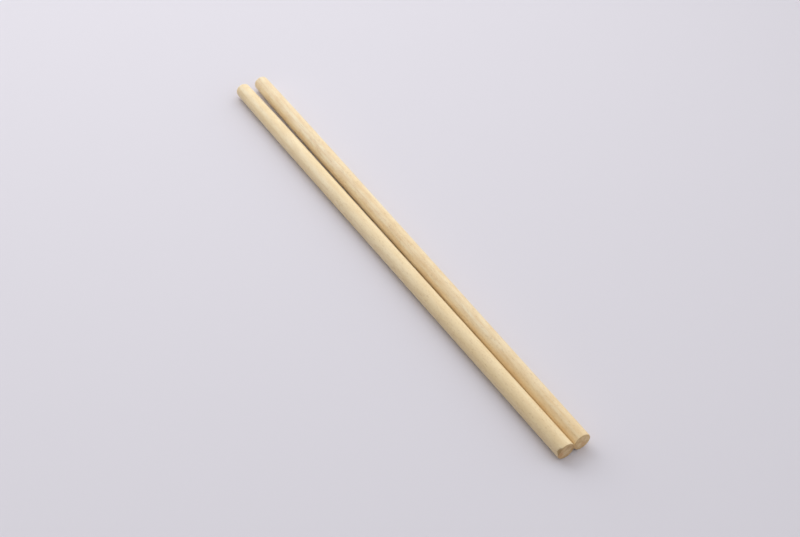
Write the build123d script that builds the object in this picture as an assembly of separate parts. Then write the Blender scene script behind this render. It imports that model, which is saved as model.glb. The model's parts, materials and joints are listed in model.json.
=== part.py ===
"""A pair of round wooden chopsticks that lie side by side on a flat surface.

Lengths are in millimetres. +X runs along the pair, from the tips to the handle ends, and +Z is up. The
origin is under the middle of the pair, on the surface that it lies on.
"""

from build123d import *
import math
import os

# One chopstick: a sawn handle end, a long shank that is almost a cylinder, and a thinner rounded tip
stick_length = 225.0
handle_diameter = 7.0
shank_end_diameter = 6.8
tip_diameter = 6.1
thinning_length = 42.0
handle_edge_radius = 0.35
tip_edge_radius = 1.1

# How the pair lies: almost touching at the handle ends, apart at the tips, the front one a little ahead
handle_clearance = 0.05
tip_clearance = 2.85
front_lead = 0.25

handle_radius = handle_diameter / 2
shank_end_radius = shank_end_diameter / 2
tip_radius = tip_diameter / 2
shank_length = stick_length - thinning_length

# The taper of the shank, and the height of the axis at mid length when the underside lies level
shank_half_angle = math.atan2(handle_radius - shank_end_radius, shank_length)
middle_radius = handle_radius - stick_length / 2 * math.tan(shank_half_angle)
middle_height = middle_radius * math.cos(shank_half_angle)

# Half the distance between the two axes, at the handle ends and at the tips
handle_offset = handle_radius + handle_clearance / 2
tip_offset = tip_radius + tip_clearance / 2
half_splay = math.asin((tip_offset - handle_offset) / stick_length)


def half_section():
    """The outline that is turned about X, with the tip at -X and the handle end at +X."""
    handle_x = stick_length / 2
    tip_x = -stick_length / 2
    thinning_x = tip_x + thinning_length
    shank = Line((handle_x, handle_radius), (thinning_x, shank_end_radius))
    thinning = TangentArc(shank @ 1, (tip_x, tip_radius), tangent=shank % 1)
    tip_face = Line(thinning @ 1, (tip_x, 0))
    axis_line = Line(tip_face @ 1, (handle_x, 0))
    handle_face = Line(axis_line @ 1, shank @ 0)
    return make_face([shank, thinning, tip_face, axis_line, handle_face])


def turned_stick():
    """One chopstick, centred on the origin along X, with its tip and handle edges rounded."""
    stick = revolve(half_section(), Axis.X)
    rims = stick.edges().filter_by(GeomType.CIRCLE).sort_by(Axis.X)
    stick = fillet(rims[-1], handle_edge_radius)
    rims = stick.edges().filter_by(GeomType.CIRCLE).sort_by(Axis.X)
    return fillet(rims[0], tip_edge_radius)


def laid_stick(side):
    """One chopstick as it lies, with its underside level: side is -1 at the front and 1 at the rear."""
    levelled = Rotation(0, -math.degrees(shank_half_angle), 0) * turned_stick()
    splayed = Rotation(0, 0, -side * math.degrees(half_splay)) * levelled
    lead = -side * front_lead / 2
    offset = side * (handle_offset + tip_offset) / 2
    return Pos(lead, offset, middle_height) * splayed


os.makedirs("parts", exist_ok=True)
for name, side in (("chopstick_front", -1), ("chopstick_rear", 1)):
    chopstick = laid_stick(side)
    chopstick.label = name
    export_step(chopstick, f"parts/{name}.step")
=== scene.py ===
"""The looks of a pair of round wooden chopsticks that lie side by side, in metres, in the part's frame.

Each chopstick is turned from one piece of pale, close-grained wood. Its shank is sanded along the grain,
its handle end is sawn flat with a softened edge, and its tip is rounded.
"""

import json
import logging
import math
from dataclasses import dataclass, field
from enum import Enum
from typing import Any, NamedTuple

import bpy
from mathutils import Matrix, Vector, noise


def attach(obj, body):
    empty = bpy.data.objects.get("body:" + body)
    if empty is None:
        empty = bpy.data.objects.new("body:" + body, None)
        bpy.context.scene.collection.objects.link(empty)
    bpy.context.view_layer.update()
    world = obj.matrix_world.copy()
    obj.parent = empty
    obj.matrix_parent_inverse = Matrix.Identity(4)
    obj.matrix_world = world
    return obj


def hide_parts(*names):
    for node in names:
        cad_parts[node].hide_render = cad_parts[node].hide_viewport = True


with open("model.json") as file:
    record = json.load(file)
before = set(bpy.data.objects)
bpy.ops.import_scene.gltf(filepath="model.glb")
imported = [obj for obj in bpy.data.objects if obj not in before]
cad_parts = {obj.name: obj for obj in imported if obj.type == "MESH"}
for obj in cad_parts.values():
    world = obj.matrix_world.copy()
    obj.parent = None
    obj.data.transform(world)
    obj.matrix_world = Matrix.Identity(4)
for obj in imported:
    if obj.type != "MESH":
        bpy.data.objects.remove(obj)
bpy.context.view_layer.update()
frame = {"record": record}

log = logging.getLogger("chopsticks")

MM = 0.001
IMAGE_WIDTH_PX = 800
SENSOR_WIDTH_MM = 36.0

# Blender's Mix node has sockets that share their names, so these number the ones that mix colours
MIX_FACTOR, MIX_FIRST, MIX_SECOND, MIX_RESULT = 0, 6, 7, 2
# Blender's wave texture runs through this angle over one unit of length, at a scale of one
WAVE_RADIANS = 20.0


def linear_colour(code: str) -> tuple[float, float, float, float]:
    """Turns an sRGB colour into the linear one that shaders take.

    Args:
        code: The colour as six hex digits after a hash sign.

    Returns:
        Linear red, green and blue, and an alpha of one.
    """
    shares = [int(code[place : place + 2], 16) / 255 for place in (1, 3, 5)]
    linear = [s / 12.92 if s <= 0.04045 else ((s + 0.055) / 1.055) ** 2.4 for s in shares]
    return (*linear, 1.0)


def add_node(
    tree: bpy.types.NodeTree,
    kind: str,
    settings: dict[str | int, Any] | None = None,
    links: dict[str | int, bpy.types.NodeSocket] | None = None,
) -> bpy.types.Node:
    """Adds a node with its settings and links.

    Args:
        tree: The node tree that takes the node.
        kind: Blender's name for the node's type.
        settings: Values by property name, or by input name or number.
        links: The output that feeds each input, by input name or number.

    Returns:
        The new node.
    """
    node = tree.nodes.new(kind)
    for name, value in (settings or {}).items():
        if isinstance(name, str) and hasattr(node, name):
            setattr(node, name, value)
        else:
            node.inputs[name].default_value = value
    for name, source in (links or {}).items():
        tree.links.new(source, node.inputs[name])
    return node


class Layer(NamedTuple):
    """A colour that covers what is below it where a pattern rises from low to high."""

    pattern: bpy.types.NodeSocket
    low: float
    high: float
    strength: float
    colour: str


def lay_colours(
    tree: bpy.types.NodeTree, base: str, layers: tuple[Layer, ...]
) -> bpy.types.NodeSocket:
    """Lays colours over one another.

    Args:
        tree: The node tree that takes the nodes.
        base: The colour at the bottom.
        layers: What covers it, from the bottom to the top.

    Returns:
        The mixed colour.
    """
    bottom = add_node(tree, "ShaderNodeRGB")
    bottom.outputs["Color"].default_value = linear_colour(base)
    mixed = bottom.outputs["Color"]
    for layer in layers:
        share = add_node(
            tree,
            "ShaderNodeMapRange",
            {"From Min": layer.low, "From Max": layer.high, "To Max": layer.strength},
            {"Value": layer.pattern},
        ).outputs["Result"]
        mixed = add_node(
            tree,
            "ShaderNodeMix",
            {"data_type": "RGBA", MIX_SECOND: linear_colour(layer.colour)},
            {MIX_FACTOR: share, MIX_FIRST: mixed},
        ).outputs[MIX_RESULT]
    return mixed


class Side(Enum):
    """Which of the two chopsticks: the front one is at -Y."""

    FRONT = "front"
    REAR = "rear"


class OutlinePoint(NamedTuple):
    """A point of the outline that is turned about the stick's axis, in millimetres.

    The distance along the axis counts from the tip, and end_grain is one on a face across the grain.
    """

    along: float
    radius: float
    end_grain: float


@dataclass(frozen=True)
class TurnedForm:
    """The turned form of one chopstick. All sizes are in millimetres."""

    length: float = 225.0
    handle_diameter: float = 7.0
    shank_end_diameter: float = 6.8
    tip_diameter: float = 6.1
    thinning_length: float = 42.0
    handle_edge_radius: float = 0.35
    tip_edge_radius: float = 1.1
    ring_spacing: float = 1.5
    fine_ring_spacing: float = 0.15
    fine_length: float = 1.8
    edge_steps: int = 7

    def radius_at(self, along: float) -> float:
        """Gives the radius of the form before its ends are rounded.

        Args:
            along: The distance from the tip.

        Returns:
            The radius there.
        """
        handle = self.handle_diameter / 2
        shank_end = self.shank_end_diameter / 2
        slope = (handle - shank_end) / (self.length - self.thinning_length)
        shank = shank_end + slope * (along - self.thinning_length)
        whole_drop = shank_end - slope * self.thinning_length - self.tip_diameter / 2
        thinned_share = max(self.thinning_length - along, 0.0) / self.thinning_length
        return shank - whole_drop * thinned_share**2

    def outline(self) -> list[OutlinePoint]:
        """Gives the outline from near the middle of the handle face to near the middle of the tip.

        Returns:
            The points, close together on the end faces and behind the handle's edge.
        """
        handle_edge, tip_edge = self.handle_edge_radius, self.tip_edge_radius
        handle_corner = self.radius_at(self.length - handle_edge)
        tip_corner = self.radius_at(tip_edge)
        fine = self.fine_ring_spacing
        handle_face = self._stations(0.0, handle_corner - handle_edge, fine)
        side_start = self.length - handle_edge
        fine_end = side_start - self.fine_length
        side = self._stations(side_start, fine_end, fine) + [fine_end]
        side += self._stations(fine_end, tip_edge, self.ring_spacing)
        tip_face = self._stations(tip_corner - tip_edge, 0.0, fine)
        points = [OutlinePoint(self.length, radius, 1.0) for radius in handle_face]
        points += self._rounded_edge(self.length, -handle_edge, handle_corner)
        points += [OutlinePoint(along, self.radius_at(along), 0.0) for along in side]
        points += reversed(self._rounded_edge(0.0, tip_edge, tip_corner))
        points += [OutlinePoint(0.0, radius, 1.0) for radius in tip_face]
        return points

    def _stations(self, start: float, end: float, spacing: float) -> list[float]:
        """Gives even stations between start and end, neither of them included, about a spacing apart."""
        steps = max(round(abs(end - start) / spacing), 2)
        return [start + (end - start) * step / steps for step in range(1, steps)]

    def _rounded_edge(self, face: float, inward: float, corner: float) -> list[OutlinePoint]:
        """Rounds the edge between an end face and the side with a quarter of a circle.

        Args:
            face: Where the end face stands along the axis.
            inward: The radius of the rounding, with the sign of the way from the face into the stick.
            corner: The radius of the side at the edge.

        Returns:
            The points of the arc, from the face to the side.
        """
        points = []
        for step in range(self.edge_steps + 1):
            turn = math.pi / 2 * step / self.edge_steps
            along = face + inward * (1 - math.cos(turn))
            radius = corner - abs(inward) * (1 - math.sin(turn))
            points.append(OutlinePoint(along, radius, math.cos(turn)))
        return points


@dataclass(frozen=True)
class SandingRelief:
    """What hand sanding and a saw leave on the form, in millimetres, all of it cut inwards."""

    wave_depth: float = 0.025
    wave_length: float = 28.0
    edge_wear: float = 0.1
    edge_wear_length: float = 1.1
    saw_mark_depth: float = 0.006
    saw_mark_spacing: float = 0.75
    # How far a saw mark bends away, in millimetres at one millimetre from its middle
    saw_mark_bow: float = 0.04
    torn_fibre_depth: float = 0.02
    torn_fibre_size: float = 1.1

    def side_cut(self, along: float, around: Vector, seed: float) -> float:
        """Gives how far the side is cut in.

        Args:
            along: The distance from the tip.
            around: The unit direction from the axis.
            seed: What sets this stick's unevenness apart.

        Returns:
            The depth of the cut, square to the axis.
        """
        place = Vector((along / self.wave_length + seed, around.y, around.z))
        return self.wave_depth * (0.5 + 0.5 * noise.noise(place))

    def edge_cut(self, around: Vector, radius: float, seed: float) -> float:
        """Gives how far the rounded edge of the handle is worn in, for a direction from the axis."""
        place = around * (radius / self.edge_wear_length) + Vector((seed, 0.0, 0.0))
        return self.edge_wear * max(noise.noise(place), 0.0)

    def face_cut(self, across: Vector, seed: float) -> float:
        """Gives how deep the saw cut into an end face.

        Args:
            across: The point of the face, from the axis.
            seed: What sets this stick's unevenness apart.

        Returns:
            The depth of the cut, along the axis.
        """
        torn = noise.noise(across / self.torn_fibre_size + Vector((seed, 0.0, 0.0)))
        bow = self.saw_mark_bow * across.y * across.y
        marks = math.sin(2 * math.pi * (across.z + bow) / self.saw_mark_spacing)
        return self.torn_fibre_depth * (0.5 + 0.5 * torn) + self.saw_mark_depth * (0.5 + 0.5 * marks)


@dataclass(frozen=True)
class EdgeTrim:
    """A flat that a rough saw cut left on one side of the handle's edge. Sizes are in millimetres.

    The depth is cut off the radius at the face, the length runs back along the side, and the turn says
    which side, in degrees from +Y towards +Z.
    """

    depth: float
    length: float
    turn: float
    raggedness: float = 0.12
    ragged_size: float = 0.5

    def limit(self, from_face: float, around: Vector, radius: float) -> float:
        """Gives the radius that the trim leaves in one direction.

        Args:
            from_face: The distance from the handle face.
            around: The unit direction from the axis.
            radius: The radius of the side at the edge.

        Returns:
            The largest radius, which is without end away from the trim.
        """
        turn = math.radians(self.turn)
        facing = around.y * math.cos(turn) + around.z * math.sin(turn)
        if facing <= 0:
            return math.inf
        torn = self.raggedness * noise.noise(around * (radius / self.ragged_size))
        return (radius - self.depth * (1 - from_face / self.length) + torn * self.depth) / facing


@dataclass(frozen=True)
class Streaks:
    """Streaks along the grain, as long and as wide as on the real wood, in millimetres.

    Their colour starts to show where the pattern is low and is full where it is high.
    """

    length: float
    width: float
    detail: float = 2.0
    unevenness: float = 0.55
    seed_step: float = 0.0
    low: float = 0.0
    high: float = 1.0
    strength: float = 1.0

    def add(
        self, tree: bpy.types.NodeTree, grain: bpy.types.NodeSocket, seed: float
    ) -> bpy.types.NodeSocket:
        """Adds the streaks.

        Args:
            tree: The material's node tree.
            grain: Places in millimetres, with the grain along X.
            seed: What sets this stick's streaks apart, to which the kind's own step is added.

        Returns:
            The streaks, as a value about one half.
        """
        start = seed + self.seed_step
        stretch = add_node(
            tree,
            "ShaderNodeMapping",
            {
                "Location": (start, start, start),
                "Scale": (1 / self.length, 1 / self.width, 1 / self.width),
            },
            {"Vector": grain},
        )
        streaks = add_node(
            tree,
            "ShaderNodeTexNoise",
            {"Scale": 1.0, "Detail": self.detail, "Roughness": self.unevenness},
            {"Vector": stretch.outputs["Vector"]},
        )
        return streaks.outputs["Fac"]

    def layer(self, pattern: bpy.types.NodeSocket, colour: str) -> Layer:
        """Gives the layer of colour that a pattern of these streaks lays."""
        return Layer(pattern, self.low, self.high, self.strength, colour)


@dataclass(frozen=True)
class SandedWood:
    """Pale, close-grained hardwood such as birch, turned and sanded along the grain, with no finish.

    The bare fibres scatter the light, so the stick has only a wide, weak sheen. Cut pores show as short
    fine dashes along the side, and as dots on the darker end grain, which soaks up the light and is
    darker still towards its rim. The colour deepens along the stick towards the handle end.
    """

    name: str
    seed: float
    pale: str
    golden: str
    handle_end_tone: str
    late_wood: str
    pore: str
    end_pale: str
    end_dark: str
    end_stain: str
    stain_place: tuple[float, float]
    pore_share: float
    mottle_strength: float
    ior: float = 1.5
    side_roughness: float = 0.52
    end_roughness: float = 0.85
    end_start: float = 0.35
    end_full: float = 0.85
    ring_width: float = 1.3
    pith_distance: float = 34.0
    ring_waver: float = 2.2
    ring_detail: float = 2.0
    late_wood_start: float = 0.45
    ring_strength: float = 0.3
    end_ring_strength: float = 0.2
    tone: Streaks = Streaks(length=55.0, width=3.2, seed_step=11.0, low=0.36, high=0.64, strength=0.8)
    mottle: Streaks = Streaks(length=7.0, width=1.9, detail=3.0, seed_step=13.0, low=0.42, high=0.74)
    # Single fibres are too fine to show in the render, so fibre and speckle are bundles of them
    fibre: Streaks = Streaks(length=16.0, width=0.32, detail=3.0, low=0.45, high=0.8, strength=0.4)
    speckle: Streaks = Streaks(
        length=1.1, width=0.45, detail=1.0, seed_step=17.0, low=0.55, high=0.8, strength=0.35
    )
    dash: Streaks = Streaks(length=2.6, width=0.26, detail=1.0, seed_step=3.0, strength=0.5)
    dash_cover: Streaks = Streaks(
        length=26.0, width=5.0, detail=1.0, seed_step=7.0, low=0.35, high=0.65
    )
    dash_level: float = 0.74
    dash_edge: float = 0.08
    end_blotch: Streaks = Streaks(length=1.9, width=1.9, seed_step=31.0, low=0.36, high=0.66)
    stain_size: float = 1.6
    stain_strength: float = 0.75
    rim_start: float = 1.6
    rim_end: float = 3.8
    rim_strength: float = 0.4
    darkening_length: float = 225.0
    darkening_strength: float = 0.5
    end_dot_size: float = 0.22
    end_dot_rim: float = 0.42
    end_dot_core: float = 0.18
    end_dot_strength: float = 0.25
    fibre_height: float = 0.006
    dash_depth: float = 0.03
    end_dot_depth: float = 0.04

    def material(self, handle_middle: Vector, turn: float) -> bpy.types.Material:
        """Makes the wood for one stick, with its grain along that stick.

        Args:
            handle_middle: The middle of the stick's handle face, in metres.
            turn: How far the stick is turned about Z, in radians.

        Returns:
            The material.
        """
        material = bpy.data.materials.new(self.name)
        material.use_nodes = True
        tree = material.node_tree
        tree.nodes.clear()
        place = add_node(tree, "ShaderNodeTexCoord").outputs["Object"]
        grain = add_node(
            tree,
            "ShaderNodeMapping",
            {
                "vector_type": "TEXTURE",
                "Location": handle_middle,
                "Rotation": (0.0, 0.0, turn),
                "Scale": (MM, MM, MM),
            },
            {"Vector": place},
        ).outputs["Vector"]
        rings = self._rings(tree, grain)
        fibre = self.fibre.add(tree, grain, self.seed)
        dashes = self._dashes(tree, grain)
        dots = self._end_dots(tree, grain)
        end_share = add_node(
            tree, "ShaderNodeAttribute", {"attribute_name": "end_grain"}
        ).outputs["Fac"]
        end_mask = add_node(
            tree,
            "ShaderNodeMapRange",
            {
                "interpolation_type": "SMOOTHSTEP",
                "From Min": self.end_start,
                "From Max": self.end_full,
            },
            {"Value": end_share},
        ).outputs["Result"]
        side_colour = self._side_colour(tree, grain, rings, fibre, dashes)
        end_colour = self._end_colour(tree, grain, rings, dots)
        colour = add_node(
            tree,
            "ShaderNodeMix",
            {"data_type": "RGBA"},
            {MIX_FACTOR: end_mask, MIX_FIRST: side_colour, MIX_SECOND: end_colour},
        ).outputs[MIX_RESULT]
        roughness = add_node(
            tree,
            "ShaderNodeMapRange",
            {"To Min": self.side_roughness, "To Max": self.end_roughness},
            {"Value": end_mask},
        ).outputs["Result"]
        surface = add_node(
            tree,
            "ShaderNodeBsdfPrincipled",
            {"IOR": self.ior},
            {
                "Base Color": colour,
                "Roughness": roughness,
                "Normal": self._relief(tree, fibre, dashes, dots, end_mask),
            },
        )
        add_node(tree, "ShaderNodeOutputMaterial", {}, {"Surface": surface.outputs["BSDF"]})
        return material

    def _rings(
        self, tree: bpy.types.NodeTree, grain: bpy.types.NodeSocket
    ) -> bpy.types.NodeSocket:
        """Adds the growth rings, which run nearly straight, because the pith is far outside the stick.

        Args:
            tree: The material's node tree.
            grain: Places in millimetres, with the grain along X.

        Returns:
            The rings, from zero in the early wood to one at the end of the late wood.
        """
        away = self.pith_distance
        about_pith = add_node(
            tree,
            "ShaderNodeMapping",
            {
                "Location": (self.seed, away * math.cos(self.seed), away * math.sin(self.seed)),
                "Scale": (1 / self.tone.length, 1.0, 1.0),
            },
            {"Vector": grain},
        )
        wave = add_node(
            tree,
            "ShaderNodeTexWave",
            {
                "wave_type": "RINGS",
                "rings_direction": "X",
                "wave_profile": "SAW",
                "Scale": 2 * math.pi / WAVE_RADIANS / self.ring_width,
                "Distortion": self.ring_waver,
                "Detail": self.ring_detail,
            },
            {"Vector": about_pith.outputs["Vector"]},
        )
        late = add_node(
            tree,
            "ShaderNodeMapRange",
            {"interpolation_type": "SMOOTHSTEP", "From Min": self.late_wood_start},
            {"Value": wave.outputs["Fac"]},
        )
        return late.outputs["Result"]

    def _dashes(
        self, tree: bpy.types.NodeTree, grain: bpy.types.NodeSocket
    ) -> bpy.types.NodeSocket:
        """Adds the cut pores on the side, drawn a little wider than real ones so that they show.

        Args:
            tree: The material's node tree.
            grain: Places in millimetres, with the grain along X.

        Returns:
            One in a pore and zero beside it.
        """
        streak = self.dash.add(tree, grain, self.seed)
        cover = self.dash_cover.add(tree, grain, self.seed)
        floor = add_node(
            tree,
            "ShaderNodeMapRange",
            {
                "From Min": self.dash_cover.low,
                "From Max": self.dash_cover.high,
                "To Min": self.dash_level,
                "To Max": self.dash_level - self.pore_share,
            },
            {"Value": cover},
        ).outputs["Result"]
        above = add_node(
            tree, "ShaderNodeMath", {"operation": "SUBTRACT"}, {0: streak, 1: floor}
        ).outputs["Value"]
        mask = add_node(
            tree,
            "ShaderNodeMapRange",
            {"interpolation_type": "SMOOTHSTEP", "From Max": self.dash_edge},
            {"Value": above},
        )
        return mask.outputs["Result"]

    def _end_dots(
        self, tree: bpy.types.NodeTree, grain: bpy.types.NodeSocket
    ) -> bpy.types.NodeSocket:
        """Adds the open pores of the end grain as dots, drawn wider than real ones so that they show.

        Args:
            tree: The material's node tree.
            grain: Places in millimetres, with the grain along X.

        Returns:
            One in a pore and zero beside it.
        """
        cells = add_node(
            tree,
            "ShaderNodeTexVoronoi",
            {"Scale": 1 / (2 * self.end_dot_size)},
            {"Vector": grain},
        )
        dots = add_node(
            tree,
            "ShaderNodeMapRange",
            {
                "interpolation_type": "SMOOTHSTEP",
                "From Min": self.end_dot_rim,
                "From Max": self.end_dot_core,
            },
            {"Value": cells.outputs["Distance"]},
        )
        return dots.outputs["Result"]

    def _side_colour(
        self,
        tree: bpy.types.NodeTree,
        grain: bpy.types.NodeSocket,
        rings: bpy.types.NodeSocket,
        fibre: bpy.types.NodeSocket,
        dashes: bpy.types.NodeSocket,
    ) -> bpy.types.NodeSocket:
        """Mixes the colour of the side from its tone, its rings, its fibres and its pores.

        Args:
            tree: The material's node tree.
            grain: Places in millimetres, with the grain along X.
            rings: The growth rings.
            fibre: The fine streaks.
            dashes: The cut pores.

        Returns:
            The colour.
        """
        along = add_node(tree, "ShaderNodeSeparateXYZ", {}, {"Vector": grain}).outputs["X"]
        tone = self.tone.add(tree, grain, self.seed)
        mottle = self.mottle.add(tree, grain, self.seed)
        speckle = self.speckle.add(tree, grain, self.seed)
        layers = (
            self.tone.layer(tone, self.golden),
            # Darker along the stick towards the handle end
            Layer(along, -self.darkening_length, 0.0, self.darkening_strength, self.handle_end_tone),
            Layer(mottle, self.mottle.low, self.mottle.high, self.mottle_strength, self.late_wood),
            Layer(rings, 0.0, 1.0, self.ring_strength, self.late_wood),
            self.fibre.layer(fibre, self.late_wood),
            self.speckle.layer(speckle, self.pore),
            self.dash.layer(dashes, self.pore),
        )
        return lay_colours(tree, self.pale, layers)

    def _end_colour(
        self,
        tree: bpy.types.NodeTree,
        grain: bpy.types.NodeSocket,
        rings: bpy.types.NodeSocket,
        dots: bpy.types.NodeSocket,
    ) -> bpy.types.NodeSocket:
        """Mixes the colour of the end grain from blotches, a stain, a darker rim, rings and pores.

        Args:
            tree: The material's node tree.
            grain: Places in millimetres, with the grain along X.
            rings: The growth rings.
            dots: The open pores.

        Returns:
            The colour.
        """
        blotch = self.end_blotch.add(tree, grain, self.seed)
        flat = add_node(
            tree, "ShaderNodeVectorMath", {"operation": "MULTIPLY", 1: (0.0, 1.0, 1.0)}, {0: grain}
        ).outputs["Vector"]
        from_axis = add_node(
            tree, "ShaderNodeVectorMath", {"operation": "LENGTH"}, {0: flat}
        ).outputs["Value"]
        from_stain = add_node(
            tree,
            "ShaderNodeVectorMath",
            {"operation": "DISTANCE", 1: (0.0, *self.stain_place)},
            {0: flat},
        ).outputs["Value"]
        layers = (
            self.end_blotch.layer(blotch, self.end_dark),
            Layer(from_stain, self.stain_size, 0.0, self.stain_strength, self.end_stain),
            # Darker towards the rim of the end face
            Layer(from_axis, self.rim_start, self.rim_end, self.rim_strength, self.pore),
            Layer(rings, 0.0, 1.0, self.end_ring_strength, self.end_dark),
            Layer(dots, 0.0, 1.0, self.end_dot_strength, self.pore),
        )
        return lay_colours(tree, self.end_pale, layers)

    def _relief(
        self,
        tree: bpy.types.NodeTree,
        fibre: bpy.types.NodeSocket,
        dashes: bpy.types.NodeSocket,
        dots: bpy.types.NodeSocket,
        end_mask: bpy.types.NodeSocket,
    ) -> bpy.types.NodeSocket:
        """Adds the fine relief: raised fibres and sunk pores.

        Args:
            tree: The material's node tree.
            fibre: The fine streaks.
            dashes: The cut pores of the side.
            dots: The open pores of the end grain.
            end_mask: One on the end grain.

        Returns:
            The normal.
        """
        end_dots = add_node(
            tree, "ShaderNodeMath", {"operation": "MULTIPLY"}, {0: dots, 1: end_mask}
        ).outputs["Value"]
        raised = add_node(
            tree, "ShaderNodeBump", {"Distance": self.fibre_height * MM}, {"Height": fibre}
        )
        pitted = add_node(
            tree,
            "ShaderNodeBump",
            {"invert": True, "Distance": self.dash_depth * MM},
            {"Height": dashes, "Normal": raised.outputs["Normal"]},
        )
        dotted = add_node(
            tree,
            "ShaderNodeBump",
            {"invert": True, "Distance": self.end_dot_depth * MM},
            {"Height": end_dots, "Normal": pitted.outputs["Normal"]},
        )
        return dotted.outputs["Normal"]


FRONT_WOOD = SandedWood(
    name="wood_front",
    seed=1.7,
    pale="#FAE9C6",
    golden="#F3DBAC",
    handle_end_tone="#E3CB9E",
    late_wood="#E2C593",
    pore="#C09C66",
    end_pale="#D0B58D",
    end_dark="#B49268",
    end_stain="#BE885C",
    stain_place=(-2.2, -0.5),
    pore_share=0.05,
    mottle_strength=0.45,
)
# The rear stick's colours are paler than the front's: partly its own tone, partly painted light for the
# light that the front stick throws back onto it
REAR_WOOD = SandedWood(
    name="wood_rear",
    seed=4.3,
    pale="#F8EED3",
    golden="#F4DDB2",
    handle_end_tone="#DEBB7E",
    late_wood="#DFBD8A",
    pore="#B8935C",
    end_pale="#DFC499",
    end_dark="#C5A375",
    end_stain="#D5AD83",
    stain_place=(0.6, -1.0),
    pore_share=0.08,
    mottle_strength=0.6,
)
FRONT_TRIM = EdgeTrim(depth=0.6, length=1.2, turn=150.0)


@dataclass
class Chopstick:
    """One chopstick, where the part's frame says that it lies."""

    side: Side
    wood: SandedWood
    form: TurnedForm = field(default_factory=TurnedForm)
    trim: EdgeTrim | None = None
    relief: SandingRelief = field(default_factory=SandingRelief)
    segments: int = 112

    @property
    def node(self) -> str:
        """The name of the part's node that this stick stands for."""
        return f"chopstick_{self.side.value}"

    def handle_mount(self) -> tuple[Vector, Vector]:
        """Gives the place of the handle face, as the record states it.

        Returns:
            The middle of the face, in metres, and its outward direction.
        """
        name = f"{self.side.value}_handle_face"
        mounts = {mount["name"]: mount for mount in frame["record"]["mounts"]}
        return Vector(mounts[name]["pos_m"]), Vector(mounts[name]["axis"]).normalized()

    def placement(self) -> Matrix:
        """Gives the way from the stick's own millimetres, with the tip at -X, to the part's metres.

        Returns:
            The matrix.
        """
        middle, outward = self.handle_mount()
        across = Vector((0.0, 0.0, 1.0)).cross(outward).normalized()
        up = outward.cross(across)
        turn = Matrix((outward, across, up)).transposed().to_4x4()
        return Matrix.Translation(middle) @ turn @ Matrix.Scale(MM, 4)

    def build(self) -> bpy.types.Object:
        """Builds the stick and says what it stands for.

        Returns:
            The stick's object.
        """
        mesh = self._mesh()
        stick = bpy.data.objects.new(f"{self.side.value}_stick", mesh)
        bpy.context.scene.collection.objects.link(stick)
        middle, outward = self.handle_mount()
        turn = math.atan2(outward.y, outward.x)
        mesh.materials.append(self.wood.material(middle, turn))
        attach(stick, "root")
        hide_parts(self.node)
        return stick

    def _mesh(self) -> bpy.types.Mesh:
        """Turns the outline about the axis, cuts the relief into it, and marks the end grain.

        Returns:
            The mesh, in metres, with the share of end grain at each vertex.
        """
        outline = self.form.outline()
        place = self.placement()
        points = [self._point(point, turn) for point in outline for turn in self._turns()]
        for along in (self.form.length, 0.0):
            points.append(self._point(OutlinePoint(along, 0.0, 1.0), 0.0))
        vertices = [vertex for vertex, _ in points]
        end_grain = [bared for _, bared in points]
        mesh = bpy.data.meshes.new(f"{self.side.value}_stick")
        mesh.from_pydata([place @ vertex for vertex in vertices], [], self._faces(len(outline)))
        share = mesh.attributes.new("end_grain", "FLOAT", "POINT")
        share.data.foreach_set("value", end_grain)
        mesh.shade_smooth()
        mesh.update()
        return mesh

    def _turns(self) -> list[float]:
        """Gives the angles of the vertices round the axis, in radians."""
        return [2 * math.pi * step / self.segments for step in range(self.segments)]

    def _point(self, point: OutlinePoint, turn: float) -> tuple[Vector, float]:
        """Gives a vertex in the stick's own millimetres, with X counted from the handle face.

        Args:
            point: The point of the outline.
            turn: The angle round the axis, in radians.

        Returns:
            The vertex, with the relief cut into it, and how far it bares the end grain.
        """
        around = Vector((0.0, math.cos(turn), math.sin(turn)))
        side_share = 1 - point.end_grain
        # The edge wears most where it is half side and half end grain, and there this share is one
        edge_share = 4 * point.end_grain * side_share
        side_cut = self.relief.side_cut(point.along, around, self.wood.seed)
        edge_cut = self.relief.edge_cut(around, point.radius, self.wood.seed)
        radius = point.radius - side_cut * side_share - edge_cut * edge_share
        bared = point.end_grain
        if self.trim:
            from_face = self.form.length - point.along
            limit = self.trim.limit(from_face, around, self.form.handle_diameter / 2)
            bared = max(bared, min((radius - limit) / self.trim.raggedness, 1.0))
            radius = min(radius, limit)
        face_cut = self.relief.face_cut(around * point.radius, self.wood.seed) * point.end_grain
        inward = -1 if point.along > self.form.length / 2 else 1
        along = point.along - self.form.length + inward * face_cut
        return Vector((along, 0.0, 0.0)) + around * radius, bared

    def _faces(self, rings: int) -> list[tuple[int, ...]]:
        """Joins the rings with quads, and closes both ends with fans.

        Args:
            rings: How many rings there are.

        Returns:
            The faces, with their normals outwards.
        """
        count = self.segments
        handle_middle = rings * count
        tip_middle = handle_middle + 1
        faces: list[tuple[int, ...]] = []
        for step in range(count):
            following = (step + 1) % count
            faces.append((handle_middle, step, following))
            for ring in range(rings - 1):
                here, beyond = ring * count, (ring + 1) * count
                faces.append((here + step, beyond + step, beyond + following, here + following))
            last = (rings - 1) * count
            faces.append((tip_middle, last + following, last + step))
        return faces


@dataclass(frozen=True)
class MattePaper:
    """Smooth matte paper for the floor, with hardly any sheen."""

    colour: str = "#DBD8E0"
    roughness: float = 0.9
    ior: float = 1.3

    def material(self) -> bpy.types.Material:
        """Makes the paper.

        Returns:
            The material.
        """
        material = bpy.data.materials.new("matte_paper")
        material.use_nodes = True
        tree = material.node_tree
        tree.nodes.clear()
        surface = add_node(
            tree,
            "ShaderNodeBsdfPrincipled",
            {
                "Base Color": linear_colour(self.colour),
                "Roughness": self.roughness,
                "IOR": self.ior,
            },
        )
        add_node(tree, "ShaderNodeOutputMaterial", {}, {"Surface": surface.outputs["BSDF"]})
        return material


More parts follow.
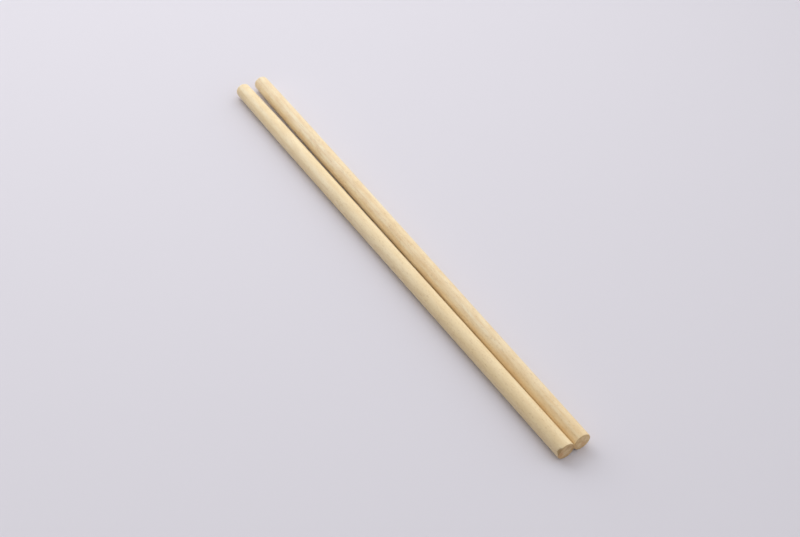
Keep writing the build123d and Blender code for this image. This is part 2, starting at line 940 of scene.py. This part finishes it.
@dataclass(frozen=True)
class SoftLamp:
    """A round soft lamp with a grid of thin slats, which looks at the middle of the pair.

    The grid narrows the light to the spread, so that the floor close to the lamp isn't lit too strongly.
    Sizes are in metres, and angles in degrees. Azimuth zero looks along +Y.
    """

    name: str
    azimuth: float
    elevation: float
    distance: float
    width: float
    watts: float
    spread: float
    colour: str = "#FFFFFF"

    def build(self) -> None:
        """Hangs the lamp and aims it."""
        light = bpy.data.lights.new(self.name, "AREA")
        light.shape = "DISK"
        light.size = self.width
        light.energy = self.watts
        light.spread = math.radians(self.spread)
        light.color = linear_colour(self.colour)[:3]
        lamp = bpy.data.objects.new(self.name, light)
        away = direction(self.azimuth, self.elevation)
        lamp.location = away * self.distance
        lamp.rotation_mode = "QUATERNION"
        lamp.rotation_quaternion = away.to_track_quat("Z", "Y")
        bpy.context.scene.collection.objects.link(lamp)


@dataclass
class Studio:
    """A pale floor, two wide soft lamps near the tips, and a surround that is brighter behind the pair.

    Sizes and places are in metres, and angles in degrees. Azimuth zero looks along +Y.
    """

    floor_half_width: float = 0.9
    floor_paper: MattePaper = field(default_factory=MattePaper)
    lamps: tuple[SoftLamp, ...] = (
        SoftLamp(
            "upper_lamp",
            azimuth=235.0,
            elevation=60.0,
            distance=0.45,
            width=0.6,
            watts=0.403,
            spread=150.0,
        ),
        SoftLamp(
            "low_lamp",
            azimuth=285.0,
            elevation=30.0,
            distance=0.8,
            width=0.96,
            watts=1.795,
            spread=120.0,
        ),
    )
    surround_azimuth: float = 176.3
    surround_elevation: float = 0.0
    surround_colour: str = "#FFFFFF"
    surround_dark: float = 0.0
    surround_bright: float = 1.255
    backdrop_colour: str = "#DFDCE2"

    def build(self) -> None:
        """Builds the floor, the lamps and the surround."""
        self._floor()
        for lamp in self.lamps:
            lamp.build()
        self._surround()

    def _floor(self) -> None:
        """Lays the floor under the sticks."""
        half = self.floor_half_width
        corners = [(-half, -half, 0.0), (half, -half, 0.0), (half, half, 0.0), (-half, half, 0.0)]
        mesh = bpy.data.meshes.new("floor")
        mesh.from_pydata(corners, [], [(0, 1, 2, 3)])
        mesh.materials.append(self.floor_paper.material())
        floor = bpy.data.objects.new("floor", mesh)
        bpy.context.scene.collection.objects.link(floor)

    def _surround(self) -> None:
        """Lights the pair from all round, and shows a pale backdrop past the floor."""
        world = bpy.data.worlds.new("surround")
        world.use_nodes = True
        bpy.context.scene.world = world
        tree = world.node_tree
        tree.nodes.clear()
        way = add_node(tree, "ShaderNodeTexCoord").outputs["Generated"]
        brightest = direction(self.surround_azimuth, self.surround_elevation)
        toward_bright = add_node(
            tree,
            "ShaderNodeVectorMath",
            {"operation": "DOT_PRODUCT", 1: brightest},
            {0: way},
        ).outputs["Value"]
        strength = add_node(
            tree,
            "ShaderNodeMapRange",
            {"From Min": -1.0, "To Min": self.surround_dark, "To Max": self.surround_bright},
            {"Value": toward_bright},
        ).outputs["Result"]
        light = add_node(
            tree,
            "ShaderNodeBackground",
            {"Color": linear_colour(self.surround_colour)},
            {"Strength": strength},
        )
        backdrop = add_node(
            tree,
            "ShaderNodeBackground",
            {"Color": linear_colour(self.backdrop_colour), "Strength": 1.0},
        )
        ray = add_node(tree, "ShaderNodeLightPath")
        mirrored = add_node(
            tree,
            "ShaderNodeMath",
            {"operation": "MAXIMUM"},
            {0: ray.outputs["Is Glossy Ray"], 1: ray.outputs["Is Transmission Ray"]},
        ).outputs["Value"]
        seen = add_node(
            tree,
            "ShaderNodeMath",
            {"operation": "MAXIMUM"},
            {0: mirrored, 1: ray.outputs["Is Camera Ray"]},
        ).outputs["Value"]
        shader = add_node(
            tree,
            "ShaderNodeMixShader",
            {},
            {0: seen, 1: light.outputs[0], 2: backdrop.outputs[0]},
        )
        add_node(tree, "ShaderNodeOutputWorld", {}, {"Surface": shader.outputs[0]})


def direction(azimuth: float, elevation: float) -> Vector:
    """Gives the unit direction from the pair to what looks at it or lights it.

    Args:
        azimuth: In degrees. Zero looks along +Y, and 90 along -X.
        elevation: In degrees above the floor.

    Returns:
        The direction.
    """
    turn, rise = math.radians(azimuth), math.radians(elevation)
    level = math.cos(rise)
    return Vector((math.sin(turn) * level, -math.cos(turn) * level, math.sin(rise)))


@dataclass
class Viewpoint:
    """The camera that sees the pair as the photograph does.

    The aim is the point of the floor in the middle of the picture. Sizes are in millimetres, angles in
    degrees, and the focal length is in pixels of a picture that is 800 pixels wide.
    """

    azimuth: float = 55.351
    elevation: float = 46.227
    roll: float = 2.28
    distance: float = 551.17
    aim: tuple[float, float] = (8.79, -2.9)
    focal_length_px: float = 1450.0
    nearest: float = 10.0

    def build(self) -> None:
        """Places the camera and makes it the scene's own."""
        data = bpy.data.cameras.new("camera")
        data.sensor_width = SENSOR_WIDTH_MM
        data.lens = self.focal_length_px * SENSOR_WIDTH_MM / IMAGE_WIDTH_PX
        data.clip_start = self.nearest * MM
        camera = bpy.data.objects.new("camera", data)
        back = direction(self.azimuth, self.elevation)
        aim = Vector((*self.aim, 0.0))
        camera.location = (aim + back * self.distance) * MM
        level = back.to_track_quat("Z", "Y").to_matrix()
        camera.rotation_mode = "QUATERNION"
        roll = Matrix.Rotation(math.radians(self.roll), 3, "Z")
        camera.rotation_quaternion = (level @ roll).to_quaternion()
        bpy.context.scene.collection.objects.link(camera)
        bpy.context.scene.camera = camera


def main() -> None:
    """Builds the pair, the studio and the camera, and reports each of them."""
    logging.basicConfig(level=logging.INFO)
    pair = (
        Chopstick(Side.FRONT, FRONT_WOOD, trim=FRONT_TRIM),
        Chopstick(Side.REAR, REAR_WOOD),
    )
    for chopstick in pair:
        stick = chopstick.build()
        log.info("%s: %d faces, %s", stick.name, len(stick.data.polygons), chopstick.wood.name)
    studio = Studio()
    studio.build()
    log.info("studio: a floor, %d lamps and a surround", len(studio.lamps))
    viewpoint = Viewpoint()
    viewpoint.build()
    log.info("camera: %.0f mm from its aim", viewpoint.distance)
    bpy.context.scene.view_settings.view_transform = "Standard"


if __name__ == "__main__":
    main()
